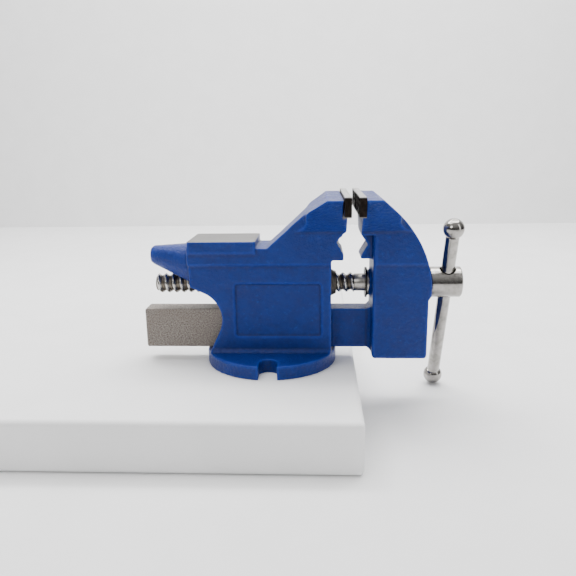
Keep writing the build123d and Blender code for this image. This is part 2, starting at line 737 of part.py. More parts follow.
def handle_knob(distance, outward):
    """Ball knob pressed on a spigot of the bar, flat where it meets the bar and on its crown."""
    shoulder = math.sqrt((KNOB_DIAMETER / 2) ** 2 - (HANDLE_DIAMETER / 2) ** 2)
    ball = Sphere(KNOB_DIAMETER / 2)
    height = shoulder + KNOB_DIAMETER / 2 - KNOB_FLAT
    ball &= Pos(0, 0, height / 2 - shoulder) * Box(2 * KNOB_DIAMETER, 2 * KNOB_DIAMETER, height)
    ball -= Pos(0, 0, SPIGOT_LENGTH / 2 - shoulder) * Cylinder(SPIGOT_RADIUS + NUT_FIT, SPIGOT_LENGTH)
    if outward < 0:
        ball = Rot(180, 0, 0) * ball
    return along_handle(ball, distance)


# ============================================================ all pieces
pieces = {
    "vise_body": vise_body(),
    "fixed_jaw_plate": jaw_plate(FIXED_FACE, -1),
    "screw_nut": screw_nut(),
    "nut_set_screw": nut_set_screw(),
    "sliding_jaw": sliding_jaw(),
    "sliding_jaw_plate": jaw_plate(SLIDING_FACE, 1),
    "thrust_washer": thrust_washer(),
    "lead_screw": lead_screw(),
    "screw_retaining_clip": retaining_clip(),
    "handle_bar": handle_bar(),
    "handle_knob_upper": handle_knob(HANDLE_UP, 1),
    "handle_knob_lower": handle_knob(-HANDLE_DOWN, -1),
}
for side, y in zip(("front", "rear"), plate_screw_places()):
    pieces[f"fixed_plate_screw_{side}"] = socket_screw(FIXED_FACE, -1, y)
    pieces[f"sliding_plate_screw_{side}"] = socket_screw(SLIDING_FACE, 1, y)

os.makedirs("parts", exist_ok=True)
for name, piece in pieces.items():
    export_step(piece, f"parts/{name}.step")
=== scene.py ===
import json
import math
import bpy
import bmesh
from mathutils import Matrix, Vector, noise


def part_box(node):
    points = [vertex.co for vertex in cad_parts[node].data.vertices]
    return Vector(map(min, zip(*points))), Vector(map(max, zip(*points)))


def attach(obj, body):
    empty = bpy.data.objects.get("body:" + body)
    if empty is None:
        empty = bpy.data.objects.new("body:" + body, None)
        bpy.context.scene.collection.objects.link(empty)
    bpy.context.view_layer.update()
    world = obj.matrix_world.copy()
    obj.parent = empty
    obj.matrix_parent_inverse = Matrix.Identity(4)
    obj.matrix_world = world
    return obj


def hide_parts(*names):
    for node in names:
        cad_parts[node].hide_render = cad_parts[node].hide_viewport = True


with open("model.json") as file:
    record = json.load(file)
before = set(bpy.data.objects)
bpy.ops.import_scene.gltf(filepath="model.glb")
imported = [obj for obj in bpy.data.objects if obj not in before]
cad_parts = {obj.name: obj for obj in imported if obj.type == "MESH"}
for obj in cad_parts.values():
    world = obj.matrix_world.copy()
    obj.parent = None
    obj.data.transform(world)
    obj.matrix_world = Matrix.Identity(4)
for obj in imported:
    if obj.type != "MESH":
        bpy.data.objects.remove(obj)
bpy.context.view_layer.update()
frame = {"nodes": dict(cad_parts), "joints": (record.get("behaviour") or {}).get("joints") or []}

# ---------------------------------------------------------------- vise body
# One grey-iron casting with the round base, horn, anvil and fixed jaw in it. It is sand cast, fettled
# and sprayed with blue enamel; the anvil's face and the jaw's seat are ground bare after painting.
MM = 0.001
NODES = frame["nodes"]
WELD_GAP = 0.002 * MM
CAST_VOXEL = 0.75 * MM
CAST_SMOOTHING = 3  # passes
CAST_SINK = 0.22 * MM  # depth of the sand's unevenness
CAST_SPREAD = 0.011  # its spacing, in metres
ANVIL_TOP = 107.0
SEAT_FRONT = 59.4  # where the bare strip behind the fixed plate starts along X
SEAT_BOTTOM = 124.0


def srgb(r, g, b):
    """Linear colour from an 8-bit display colour."""

    def linear(c):
        return c / 255 / 12.92 if c < 10 else ((c / 255 + 0.055) / 1.055) ** 2.4

    return (linear(r), linear(g), linear(b), 1)


def add_object(name, data):
    """New object in the scene."""
    obj = bpy.data.objects.new(name, data)
    bpy.context.scene.collection.objects.link(obj)
    return obj


def evaluated(obj):
    """The object as its modifiers leave it."""
    bpy.context.view_layer.update()
    return obj.evaluated_get(bpy.context.evaluated_depsgraph_get())


def mesh_from(bm, name):
    """Mesh of a finished bmesh, with its faces turned outward. The bmesh is freed."""
    bmesh.ops.recalc_face_normals(bm, faces=bm.faces)
    mesh = bpy.data.meshes.new(name)
    bm.to_mesh(mesh)
    bm.free()
    return mesh


def show(name, mesh, body, node, material, smooth_angle):
    """Puts a finished mesh in the scene in place of a CAD node, riding on that node's body."""
    obj = add_object(name, mesh)
    mesh.materials.clear()
    mesh.materials.append(material)
    for face in mesh.polygons:
        face.use_smooth = True
    mesh.set_sharp_from_angle(angle=math.radians(smooth_angle))
    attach(obj, body)
    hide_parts(node)


def casting(node, faces):
    """Cast skin of a node: the machined shape with all its edges rounded over, as sand leaves them."""
    obj = add_object("skin", NODES[node].data.copy())
    weld = obj.modifiers.new("weld", "WELD")
    weld.merge_threshold = WELD_GAP
    skin = obj.modifiers.new("skin", "REMESH")
    skin.mode = "VOXEL"
    skin.voxel_size = CAST_VOXEL
    ease = obj.modifiers.new("ease", "SMOOTH")
    ease.factor = 0.5
    ease.iterations = CAST_SMOOTHING
    count = len(evaluated(obj).data.polygons)
    thin = obj.modifiers.new("thin", "DECIMATE")
    thin.ratio = min(1.0, faces / (2 * count))
    result = bpy.data.meshes.new_from_object(evaluated(obj))
    bpy.data.objects.remove(obj)
    return result


def sand_skin(mesh, keep):
    """Sinks a cast surface by a slow, shallow unevenness. keep says which points stay as they are."""
    points = [vertex.co.copy() for vertex in mesh.vertices]
    normals = [vertex.normal.copy() for vertex in mesh.vertices]
    moved = []
    for point, normal in zip(points, normals):
        if not keep(point):
            sink = 0.5 + 0.5 * noise.noise(point / CAST_SPREAD)
            sink += 0.35 * noise.noise(point / (CAST_SPREAD * 0.3))
            point = point - normal * CAST_SINK * max(0.0, min(1.0, sink))
        moved.extend(point)
    mesh.vertices.foreach_set("co", moved)
    mesh.update()


class Shader:
    """A material's node tree, built up one node at a time."""

    def __init__(self, name):
        self.material = bpy.data.materials.new(name)
        self.material.use_nodes = True
        self.tree = self.material.node_tree
        self.tree.nodes.clear()
        self.place = self.add("ShaderNodeTexCoord").outputs["Object"]

    def add(self, kind, inputs=None, **settings):
        node = self.tree.nodes.new(kind)
        for key, value in settings.items():
            setattr(node, key, value)
        for key, value in (inputs or {}).items():
            self.join(value, node.inputs[key])
        return node

    def join(self, value, socket):
        if isinstance(value, bpy.types.NodeSocket):
            self.tree.links.new(value, socket)
        else:
            socket.default_value = value

    def noise(self, scale, detail=3.0, rough=0.55, stretch=(1, 1, 1)):
        """Noise with a feature size in millimetres, drawn out along an axis by stretch."""
        spread = self.add("ShaderNodeMapping", {"Vector": self.place, "Scale": [1000 / s for s in stretch]})
        source = {"Vector": spread.outputs[0], "Scale": 1 / scale, "Detail": detail, "Roughness": rough}
        return self.add("ShaderNodeTexNoise", source).outputs[0]

    def ramp(self, value, low, high, to_low=0.0, to_high=1.0):
        """value carried smoothly from low..high to to_low..to_high, and held beyond them."""
        source = {0: value, 1: low, 2: high, 3: to_low, 4: to_high}
        return self.add("ShaderNodeMapRange", source, interpolation_type="SMOOTHSTEP").outputs[0]

    def calc(self, operation, a, b=0.0):
        return self.add("ShaderNodeMath", {0: a, 1: b}, operation=operation).outputs[0]

    def mix(self, factor, a, b, kind="RGBA"):
        node = self.add("ShaderNodeMix", data_type=kind)
        at = {"RGBA": (6, 7, 2), "FLOAT": (2, 3, 0)}[kind]
        self.join(factor, node.inputs[0])
        self.join(a, node.inputs[at[0]])
        self.join(b, node.inputs[at[1]])
        return node.outputs[at[2]]

    def axis(self, name):
        """One coordinate, in millimetres."""
        parts = self.add("ShaderNodeSeparateXYZ", {0: self.place})
        return self.calc("MULTIPLY", parts.outputs[name], 1000.0)

    def bump(self, height, depth, under=None):
        """Relief of so many millimetres."""
        source = {"Height": height, "Distance": depth * MM, "Strength": 1.0}
        if under:
            source["Normal"] = under
        return self.add("ShaderNodeBump", source).outputs[0]

    def surface(self, color, metallic, roughness, normal, **more):
        source = {"Base Color": color, "Metallic": metallic, "Roughness": roughness, "Normal": normal}
        source.update({key.replace("_", " "): value for key, value in more.items()})
        shader = self.add("ShaderNodeBsdfPrincipled", source)
        self.add("ShaderNodeOutputMaterial", {"Surface": shader.outputs[0]})
        return self.material


def enamel(s):
    """Blue enamel over rough cast iron: its colour, with painted shade in the creases and a painted
    highlight along the convex edges, its roughness, the cast relief and the edge mask for the worn edges.
    """
    edge = s.ramp(s.add("ShaderNodeNewGeometry").outputs["Pointiness"], 0.47, 0.56)
    blotch = s.noise(14.0, 4.0)
    lumps = s.noise(2.6, 4.0, 0.6)
    grain = s.noise(1.1, 3.0, 0.7)
    blue = s.mix(s.ramp(blotch, 0.3, 0.7), srgb(1, 38, 120), srgb(3, 45, 132))
    blue = s.mix(s.ramp(lumps, 0.56, 0.8), blue, srgb(8, 62, 156))
    # Painted shade: the blue darkens in creases and hollows, where the surface is least pointy.
    blue = s.mix(s.ramp(edge, 0.55, 0.0, 0.0, 0.65), blue, srgb(2, 18, 62))
    # Painted highlight: the blue lightens along the sharpest convex edges.
    blue = s.mix(s.ramp(edge, 0.62, 1.0, 0.0, 0.35), blue, srgb(36, 84, 166))
    rough = s.mix(s.ramp(blotch, 0.3, 0.7), 0.36, 0.46, "FLOAT")
    cast = s.calc("ADD", s.calc("MULTIPLY", lumps, 0.7), s.calc("MULTIPLY", grain, 0.3))
    return blue, rough, cast, edge


def body_bare(s):
    """The anvil's ground face and a narrow strip behind the fixed jaw's plate."""
    ragged = s.calc("MULTIPLY", s.calc("SUBTRACT", s.noise(4.0, 4.0), 0.5), 0.35)
    height = s.calc("ADD", s.axis("Z"), ragged)
    along = s.axis("X")
    anvil = s.calc("MULTIPLY", s.ramp(height, ANVIL_TOP - 0.6, ANVIL_TOP - 0.35), s.ramp(along, 0.0, -2.0))
    seat = s.ramp(s.calc("ADD", along, s.calc("MULTIPLY", ragged, 2.0)), SEAT_FRONT, SEAT_FRONT + 0.4)
    seat = s.calc("MULTIPLY", seat, s.ramp(s.axis("Z"), SEAT_BOTTOM, SEAT_BOTTOM + 3.5))
    return s.calc("MAXIMUM", anvil, seat)


def body_material():
    """The body's enamel, chipped at a few edges, and the iron where it is ground bare."""
    s = Shader("body_enamel")
    blue, rough, cast, edge = enamel(s)
    chips = s.calc("MULTIPLY", s.ramp(edge, 0.8, 1.0), s.ramp(s.noise(3.2, 5.0, 0.7), 0.63, 0.69))
    iron = s.mix(s.ramp(s.noise(0.5, 2.0), 0.35, 0.65), srgb(122, 119, 116), srgb(170, 167, 163))
    scratches = s.noise(0.35, 3.0, 0.6, (1, 60, 1))
    ground = s.mix(s.ramp(scratches, 0.35, 0.65), srgb(84, 82, 81), srgb(126, 124, 122))
    ground = s.mix(s.ramp(s.noise(9.0, 4.0), 0.45, 0.75, 0.0, 0.5), ground, srgb(98, 94, 90))
    bare = body_bare(s)
    color = s.mix(bare, s.mix(chips, blue, iron), ground)
    rough = s.mix(chips, rough, 0.55, "FLOAT")
    rough = s.mix(bare, rough, s.mix(s.ramp(scratches, 0.3, 0.7), 0.34, 0.5, "FLOAT"), "FLOAT")
    relief = s.bump(s.calc("MULTIPLY", cast, s.calc("SUBTRACT", 1.0, bare)), 1.3)
    relief = s.bump(s.calc("MULTIPLY", scratches, bare), 0.02, relief)
    return s.surface(color, s.calc("MAXIMUM", bare, chips), rough, relief, Specular_IOR_Level=0.28)


def on_anvil(point):
    """True on the anvil's top, which is ground and stays flat."""
    return point.z > (ANVIL_TOP - 1.2) * MM and point.x < 0


body_mesh = casting("vise_body", 150000)
sand_skin(body_mesh, on_anvil)
show("vise_body_casting", body_mesh, "base", "vise_body", body_material(), 80)

# ---------------------------------------------------------------- nut and its set screw
# The nut is a turned iron bush with the thread cut through it and a square collar behind. It sits in
# the body's front wall; a black headless screw in the far side of the body locks it there.


def cut_metal(name, dark, light, rough, grain=(1, 1, 1)):
    """Machined metal with its cutter marks drawn out along one axis, faint stains and oil."""
    s = Shader(name)
    marks = s.noise(0.5, 4.0, 0.6, grain)
    stain = s.noise(7.0, 4.0)
    color = s.mix(s.ramp(marks, 0.35, 0.65), dark, light)
    color = s.mix(s.ramp(stain, 0.5, 0.8, 0.0, 0.35), color, dark)
    edge = s.ramp(s.add("ShaderNodeNewGeometry").outputs["Pointiness"], 0.52, 0.6, 0.0, 0.5)
    color = s.mix(edge, color, light)
    low, high = rough
    roughness = s.mix(s.ramp(marks, 0.3, 0.7), low, high, "FLOAT")
    roughness = s.mix(s.ramp(stain, 0.45, 0.8, 0.0, 0.6), roughness, high + 0.08, "FLOAT")
    return s.surface(color, 1.0, roughness, s.bump(marks, 0.02))


def finish_node(node, material, bevel):
    """Keeps a CAD node's own mesh, breaks its edges by bevel millimetres and gives it its finish."""
    obj = NODES[node]
    obj.data.materials.clear()
    obj.data.materials.append(material)
    weld = obj.modifiers.new("weld", "WELD")
    weld.merge_threshold = WELD_GAP
    if bevel:
        edge = obj.modifiers.new("edge", "BEVEL")
        edge.width = bevel * MM
        edge.segments = 2
        edge.limit_method = "ANGLE"
        edge.angle_limit = math.radians(35)


nut_iron = cut_metal("nut_iron", srgb(46, 43, 41), srgb(92, 88, 84), (0.38, 0.55), (1, 12, 12))
black_oxide = cut_metal("black_oxide", srgb(30, 29, 29), srgb(62, 60, 58), (0.36, 0.52))
finish_node("screw_nut", nut_iron, 0.0)
finish_node("nut_set_screw", black_oxide, 0.12)

# ---------------------------------------------------------------- sliding jaw
# The second casting: jaw, block and the long square bar that runs through the body. The block and the
# bar's front are enamelled with it; the bar's rear, which slides in the body, is bare blasted iron.
PAINT_END = 19.5
BLOCK_BACK = 80


def blasted_iron(s):
    """1 on the bare part of the slide bar."""
    ragged = s.calc("MULTIPLY", s.calc("SUBTRACT", s.noise(5.0, 4.0), 0.5), 5.0)
    return s.ramp(s.calc("ADD", s.axis("X"), ragged), PAINT_END + 1.5, PAINT_END)


def jaw_material():
    """The same enamel, and the bar's grey, speckled, blasted iron behind it."""
    s = Shader("jaw_enamel")
    blue, rough, cast, _ = enamel(s)
    bare = blasted_iron(s)
    speck = s.noise(1.0, 4.0, 0.8)
    iron = s.mix(s.ramp(speck, 0.32, 0.68), srgb(52, 47, 44), srgb(168, 160, 152))
    iron = s.mix(s.ramp(s.noise(22.0, 5.0), 0.4, 0.7, 0.0, 0.45), iron, srgb(122, 113, 106))
    drag = s.noise(0.5, 3.0, 0.6, (70, 1, 1))
    iron = s.mix(s.ramp(drag, 0.62, 0.8, 0.0, 0.4), iron, srgb(190, 186, 180))
    color = s.mix(bare, blue, iron)
    rough = s.mix(bare, rough, s.mix(s.ramp(speck, 0.3, 0.7), 0.5, 0.68, "FLOAT"), "FLOAT")
    relief = s.bump(s.calc("MULTIPLY", cast, s.calc("SUBTRACT", 1.0, bare)), 1.3)
    relief = s.bump(s.calc("MULTIPLY", speck, bare), 0.16, relief)
    metal = s.calc("MULTIPLY", bare, 0.75)
    return s.surface(color, metal, rough, relief, Specular_IOR_Level=0.28)


def on_bar(point):
    """True on the slide bar, whose sides are machined and stay flat."""
    return point.x < BLOCK_BACK * MM


jaw_mesh = casting("sliding_jaw", 130000)
sand_skin(jaw_mesh, on_bar)
show("sliding_jaw_casting", jaw_mesh, "jaw", "sliding_jaw", jaw_material(), 80)

# ---------------------------------------------------------------- jaw plates
# Two hardened steel plates with crossed serrations milled into the gripping face and plain, lighter
# ground edges. Each is held by two countersunk socket screws, sunk a little below its face.
SHANK_HOLE = 3.15
# The plate's rounded edge, as (share of its thickness behind the face, growth).
PLATE_EDGE = ((0.035, 0.3), (0.09, 0.42), (0.91, 0.42), (0.965, 0.3), (1.0, 0.0))


def plate_mesh(node, towards):
    """Plate with a diamond-cut gripping face. towards is the way that face looks along X."""
    low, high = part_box(node)
    inset = 0.5 * MM
    pitch = 1.6 * MM
    cut = 0.45 * MM
    groove_slope = 3.2
    wide, tall = 250, 40  # cells across and up the face
    face_x = high.x if towards > 0 else low.x
    back_x = low.x if towards > 0 else high.x
    land = 1.3 * MM
    bm = bmesh.new()
    rows = []
    for i in range(wide + 1):
        y = low.y + inset + (high.y - low.y - 2 * inset) * i / wide
        row = []
        for j in range(tall + 1):
            z = low.z + inset + (high.z - low.z - 2 * inset) * j / tall
            border = min(y - low.y, high.y - y, z - low.z, high.z - z)
            groove = 0.0
            for way in (1, -1):
                phase = ((y + way * z) / pitch) % 1.0
                groove = max(groove, 1 - abs(phase - 0.5) * groove_slope)
            fade = max(0.0, min(1.0, (border - land) / (0.5 * MM)))
            depth = cut * max(0.0, groove) * fade
            row.append(bm.verts.new((face_x - towards * depth, y, z)))
        rows.append(row)
    for i in range(wide):
        for j in range(tall):
            loop = [rows[i][j], rows[i + 1][j], rows[i + 1][j + 1], rows[i][j + 1]]
            bm.faces.new(loop if towards > 0 else loop[::-1])
    rim = [rows[i][0] for i in range(wide + 1)]
    rim += [rows[wide][j] for j in range(1, tall + 1)]
    rim += [rows[i][tall] for i in range(wide - 1, -1, -1)]
    rim += [rows[0][j] for j in range(tall - 1, 0, -1)]
    middle = Vector((0, (low.y + high.y) / 2, (low.z + high.z) / 2))

    def outward(value, centre, reach, grow):
        """value moved away from centre by grow, if it is further out than reach."""
        if abs(value - centre) <= reach:
            return value
        return value + (grow if value > centre else -grow)

    def ring(x, grow):
        made = []
        for v in rim:
            y = outward(v.co.y, middle.y, (high.y - low.y) / 2 - 2 * inset, grow)
            z = outward(v.co.z, middle.z, (high.z - low.z) / 2 - 1.2 * inset, grow)
            made.append(bm.verts.new((x, y, z)))
        return made

    def bridge(a, b):
        for k in range(len(a)):
            n = (k + 1) % len(a)
            loop = [a[k], b[k], b[n], a[n]]
            bm.faces.new(loop if towards > 0 else loop[::-1])

    last = rim
    for share, grow in PLATE_EDGE:
        made = ring(face_x + (back_x - face_x) * share, grow * MM)
        bridge(last, made)
        last = made
    bm.faces.new(last[::-1] if towards > 0 else last)
    return mesh_from(bm, node)


def drill(mesh, cutters):
    """Takes the cutters' shapes out of a mesh."""
    obj = add_object("blank", mesh)
    made = []
    for k, cutter_mesh in enumerate(cutters):
        cutter = add_object("cutter", cutter_mesh)
        made.append(cutter)
        step = obj.modifiers.new(f"cut{k}", "BOOLEAN")
        step.operation = "DIFFERENCE"
        step.solver = "EXACT"
        step.object = cutter
    result = bpy.data.meshes.new_from_object(evaluated(obj))
    for o in made + [obj]:
        bpy.data.objects.remove(o)
    return result


def lathe(name, profile, centre, axis, segments):
    """Turned shape: profile is (distance along the axis, radius) in millimetres, closed onto the axis."""
    bm = bmesh.new()
    rings = []
    turns = [2 * math.pi * k / segments for k in range(segments)]
    for along, radius in profile:
        out = radius * MM
        angles = turns if radius else [0.0]
        rings.append([bm.verts.new((out * math.cos(a), out * math.sin(a), along * MM)) for a in angles])
    for a, b in zip(rings, rings[1:]):
        for k in range(segments):
            n = (k + 1) % segments
            if len(a) == 1:
                bm.faces.new((a[0], b[n], b[k]))
            elif len(b) == 1:
                bm.faces.new((a[k], a[n], b[0]))
            else:
                bm.faces.new((a[k], a[n], b[n], b[k]))
    mesh = mesh_from(bm, name)
    turn = Vector((0, 0, 1)).rotation_difference(Vector(axis)).to_matrix().to_4x4()
    mesh.transform(Matrix.Translation(centre) @ turn)
    return mesh


def sink_profile(head):
    """Countersunk hole for a screw head of that radius, from outside the face inward."""
    return [
        (1.0, 0),
        (1.0, head + 0.25),
        (0.0, head + 0.25),
        (-0.4, head),
        (-0.8, head),
        (-3.8, SHANK_HOLE),
        (-9.0, SHANK_HOLE),
        (-9.0, 0),
    ]


def hardened_plate():
    """Blackened plate: dark on its sides, lighter where the top edge was ground after hardening."""
    s = Shader("hardened_plate")
    marks = s.noise(0.45, 4.0, 0.6, (1, 50, 1))
    stain = s.noise(5.0, 4.0)
    dark = s.mix(s.ramp(stain, 0.35, 0.7), srgb(30, 26, 24), srgb(48, 42, 38))
    normal = s.add("ShaderNodeNewGeometry").outputs["True Normal"]
    up = s.ramp(s.add("ShaderNodeSeparateXYZ", {0: normal}).outputs["Z"], 0.55, 0.8)
    ground = s.mix(s.ramp(marks, 0.35, 0.65), srgb(140, 138, 136), srgb(188, 186, 184))
    point = s.ramp(s.add("ShaderNodeNewGeometry").outputs["Pointiness"], 0.53, 0.62, 0.0, 0.75)
    color = s.mix(point, s.mix(up, dark, ground), srgb(176, 172, 168))
    rough = s.mix(s.ramp(marks, 0.3, 0.7), 0.32, 0.48, "FLOAT")
    return s.surface(color, 1.0, rough, s.bump(marks, 0.025))


plate_steel = hardened_plate()
for node, body, towards in (("fixed_jaw_plate", "base", 1), ("sliding_jaw_plate", "jaw", -1)):
    low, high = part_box(node)
    face = high.x if towards > 0 else low.x
    cutters = []
    for side in ("front", "rear"):
        a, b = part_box(node.replace("_jaw_plate", "_plate_screw_") + side)
        middle = Vector((face, (a.y + b.y) / 2, (a.z + b.z) / 2))
        head = (b.y - a.y) / 2 / MM + 0.1
        cutters.append(lathe("sink", sink_profile(head), middle, (towards, 0, 0), 48))
    cut = drill(plate_mesh(node, towards), cutters)
    show(node + "_cut", cut, body, node, plate_steel, 28)
for node in NODES:
    if "plate_screw" in node:
        finish_node(node, black_oxide, 0.1)

# ---------------------------------------------------------------- lead screw
# Bright steel screw with a single-start round thread rolled on to it. Its plain end turns in the
# sliding jaw, and its drilled head, turned and polished, takes the handle bar.
screw_low, screw_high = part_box("lead_screw")
AXIS_Z = (screw_low.z + screw_high.z) / 2
head_radius = (screw_high.z - screw_low.z) / 2 / MM
CREST = 8.5
ROOT = 6.4
PITCH = 6.35
THREAD_LENGTH = 169.4
RINGS_PER_TURN = 22
NECK = 7.5  # radius of the plain part that the clip sits on
HEAD_LENGTH = 26.3
thread_start = screw_low.x / MM
thread_end = thread_start + THREAD_LENGTH
clip_low, clip_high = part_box("screw_retaining_clip")


def threaded_rod():
    """Rolled thread as one skin: rings of points whose radius follows the helix."""
    around = 72
    length = thread_end - thread_start
    steps = int(length / PITCH * RINGS_PER_TURN)
    eccentric = (CREST - ROOT) / 2
    middle = (CREST + ROOT) / 2
    angles = [2 * math.pi * k / around for k in range(around)]
    bm = bmesh.new()
    rings = []

    def point(x, radius, angle):
        return bm.verts.new((x * MM, radius * MM * math.cos(angle), AXIS_Z + radius * MM * math.sin(angle)))

    for i in range(steps + 1):
        x = length * i / steps
        ring = []
        for angle in angles:
            phase = angle - 2 * math.pi * x / PITCH
            radius = eccentric * math.cos(phase) + math.sqrt(middle**2 - (eccentric * math.sin(phase)) ** 2)
            radius = min(radius, 6.2 + x * 1.1)
            radius -= 0.35 * max(0.0, 1 - x / 0.6)
            ring.append(point(thread_start + x, radius, angle))
        rings.append(ring)
    groove = clip_low.x / MM
    behind = clip_high.x / MM
    head_start = screw_high.x / MM - HEAD_LENGTH
    for x, radius in (
        (thread_end + 0.02, NECK - 0.2),
        (thread_end + 0.3, NECK),
        (groove, NECK),
        (groove, NECK - 0.8),
        (behind, NECK - 0.8),
        (behind, CREST - 0.3),
        (behind + 0.3, CREST),
        (head_start + 0.4, CREST),
    ):
        rings.append([point(x, radius, angle) for angle in angles])
    for a, b in zip(rings, rings[1:]):
        for k in range(around):
            n = (k + 1) % around
            bm.faces.new((a[k], a[n], b[n], b[k]))
    bm.faces.new(rings[0])
    bm.faces.new(rings[-1])
    return mesh_from(bm, "threaded_rod")


def rolled_steel():
    """Rolled thread: bright crests, and painted shade, a darker brown, down in the valleys."""
    s = Shader("rolled_steel")
    parts = s.add("ShaderNodeSeparateXYZ", {0: s.place})
    up = s.calc("SUBTRACT", parts.outputs["Z"], AXIS_Z)
    out = s.calc("SQRT", s.calc("ADD", s.calc("POWER", up, 2.0), s.calc("POWER", parts.outputs["Y"], 2.0)))
    crest = s.ramp(s.calc("MULTIPLY", out, 1000.0), ROOT + 0.1, CREST - 0.3)
    marks = s.noise(0.5, 4.0, 0.6, (1, 8, 8))
    stain = s.noise(4.0, 5.0, 0.65)
    bright = s.mix(s.ramp(marks, 0.3, 0.7), srgb(150, 148, 144), srgb(205, 203, 199))
    # Painted shade: the valleys between the crests are coloured a darker brown.
    valley_shade = s.mix(s.ramp(stain, 0.35, 0.65), srgb(70, 63, 55), srgb(120, 112, 102))
    color = s.mix(crest, valley_shade, bright)
    color = s.mix(s.ramp(stain, 0.55, 0.8, 0.0, 0.5), color, srgb(110, 103, 94))
    rough = s.mix(crest, 0.42, 0.24, "FLOAT")
    rough = s.mix(s.ramp(stain, 0.5, 0.8), rough, 0.45, "FLOAT")
    return s.surface(color, 1.0, rough, s.bump(marks, 0.05))


show("lead_screw_thread", threaded_rod(), "screw", "lead_screw", rolled_steel(), 38)

handle_joint = next(j for j in frame["joints"] if j["name"] == "handle_slide")
HANDLE_AXIS = Vector(handle_joint["axis"]).normalized()
head_profile = [
    (-HEAD_LENGTH, 0),
    (-HEAD_LENGTH, head_radius - 0.9),
    (-HEAD_LENGTH + 0.25, head_radius - 0.3),
    (-HEAD_LENGTH + 0.8, head_radius),
    (-1.3, head_radius),
    (-0.75, head_radius - 0.2),
    (-0.2, head_radius - 0.8),
    (0, head_radius - 1.5),
    (-0.12, head_radius - 6.0),
    (-0.16, 1.6),
    (-0.9, 0.8),
    (-0.9, 0),
]
head_mesh = lathe("screw_head", head_profile, Vector((screw_high.x, 0, AXIS_Z)), (1, 0, 0), 160)
bar_low, bar_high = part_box("handle_bar")
BAR_CENTRE = Vector(((bar_low.x + bar_high.x) / 2, 0, AXIS_Z))
HOLE = 6.3
flare_out = 0.7  # how far the hole's mouth opens
reach = math.sqrt(head_radius**2 - HOLE**2)
hole_profile = [
    (-20, 0),
    (-20, HOLE + flare_out),
    (-head_radius - 0.1, HOLE + flare_out),
    (-head_radius + 0.5, HOLE + 0.35),
    (-reach + 0.2, HOLE + 0.06),
    (-reach + 0.9, HOLE),
    (reach - 0.9, HOLE),
    (reach - 0.2, HOLE + 0.06),
    (head_radius - 0.5, HOLE + 0.35),
    (head_radius + 0.1, HOLE + flare_out),
    (20, HOLE + flare_out),
    (20, 0),
]
head_mesh = drill(head_mesh, [lathe("cross_hole", hole_profile, BAR_CENTRE, HANDLE_AXIS, 96)])


def polished_steel(name, axis_stretch, rough):
    """Turned and polished steel with hair-fine rings and a few handling marks."""
    s = Shader(name)
    rings = s.noise(0.22, 2.0, 0.5, axis_stretch)
    wear = s.noise(6.0, 5.0, 0.65)
    color = s.mix(s.ramp(wear, 0.4, 0.75), srgb(158, 155, 151), srgb(128, 125, 121))
    low, high = rough
    roughness = s.mix(s.ramp(rings, 0.3, 0.7), low, high, "FLOAT")
    roughness = s.mix(s.ramp(wear, 0.5, 0.8, 0.0, 0.7), roughness, high + 0.06, "FLOAT")
    pits = s.ramp(s.noise(1.1, 3.0, 0.6), 0.68, 0.74)
    relief = s.calc("ADD", rings, s.calc("MULTIPLY", pits, -1.5))
    return s.surface(color, 1.0, roughness, s.bump(relief, 0.004))


turned = polished_steel("turned_steel", (1, 30, 30), (0.13, 0.22))
show("lead_screw_head", head_mesh, "screw", "lead_screw", turned, 30)

# ---------------------------------------------------------------- thrust washer and retaining clip
# The clip is a blackened spring-steel ring pushed sideways into the screw's groove, and the bright
# washer behind it bears on the jaw's boss and draws the jaw open.
washer_steel = cut_metal("washer_steel", srgb(150, 148, 145), srgb(205, 203, 200), (0.22, 0.36))
finish_node("thrust_washer", washer_steel, 0.15)
finish_node("screw_retaining_clip", black_oxide, 0.15)

# ---------------------------------------------------------------- handle
# A plain bright-plated bar that slides through the screw's head. A ball knob is pressed on to a
# turned-down end of the bar at each side, so the bar can't drop out.
BAR_RADIUS = 5.5
KNOB_RADIUS = 8.5
SPIGOT_RADIUS = 3.4
SPIGOT_LENGTH = 7.5
KNOB_BORE = 3.6  # its radius, and its depth past the knob's centre
UP = 51.2  # from the screw's axis to the knobs' centres
DOWN = 106.2
shoulder = math.sqrt(KNOB_RADIUS**2 - BAR_RADIUS**2)
handle_steel = polished_steel("plated_steel", (18, 18, 18), (0.09, 0.17))
bar_profile = [
    (-DOWN + shoulder - SPIGOT_LENGTH, 0),
    (-DOWN + shoulder - SPIGOT_LENGTH, SPIGOT_RADIUS),
    (-DOWN + shoulder - 0.02, SPIGOT_RADIUS),
    (-DOWN + shoulder, BAR_RADIUS - 0.25),
    (-DOWN + shoulder + 0.3, BAR_RADIUS),
    (UP - shoulder - 0.3, BAR_RADIUS),
    (UP - shoulder, BAR_RADIUS - 0.25),
    (UP - shoulder + 0.02, SPIGOT_RADIUS),
    (UP - shoulder + SPIGOT_LENGTH, SPIGOT_RADIUS),
    (UP - shoulder + SPIGOT_LENGTH, 0),
]
bar_mesh = lathe("handle_bar_turned", bar_profile, BAR_CENTRE, HANDLE_AXIS, 96)
show("handle_bar_turned", bar_mesh, "handle", "handle_bar", handle_steel, 30)


def knob_profile():
    """Half outline of a ball knob, from its bore outward and round to its far end."""
    steps = 40
    profile = [(-shoulder, KNOB_BORE), (-shoulder, BAR_RADIUS - 0.35), (-shoulder + 0.25, BAR_RADIUS + 0.1)]
    start = math.atan2(BAR_RADIUS + 0.12, -shoulder + 0.3)
    for k in range(1, steps + 1):
        angle = start * (1 - k / steps)
        along = min(KNOB_RADIUS * math.cos(angle), KNOB_RADIUS - 0.6)
        profile.append((along, KNOB_RADIUS * math.sin(angle) if k < steps else 0))
    return [(KNOB_BORE, 0), (KNOB_BORE, KNOB_BORE)] + profile


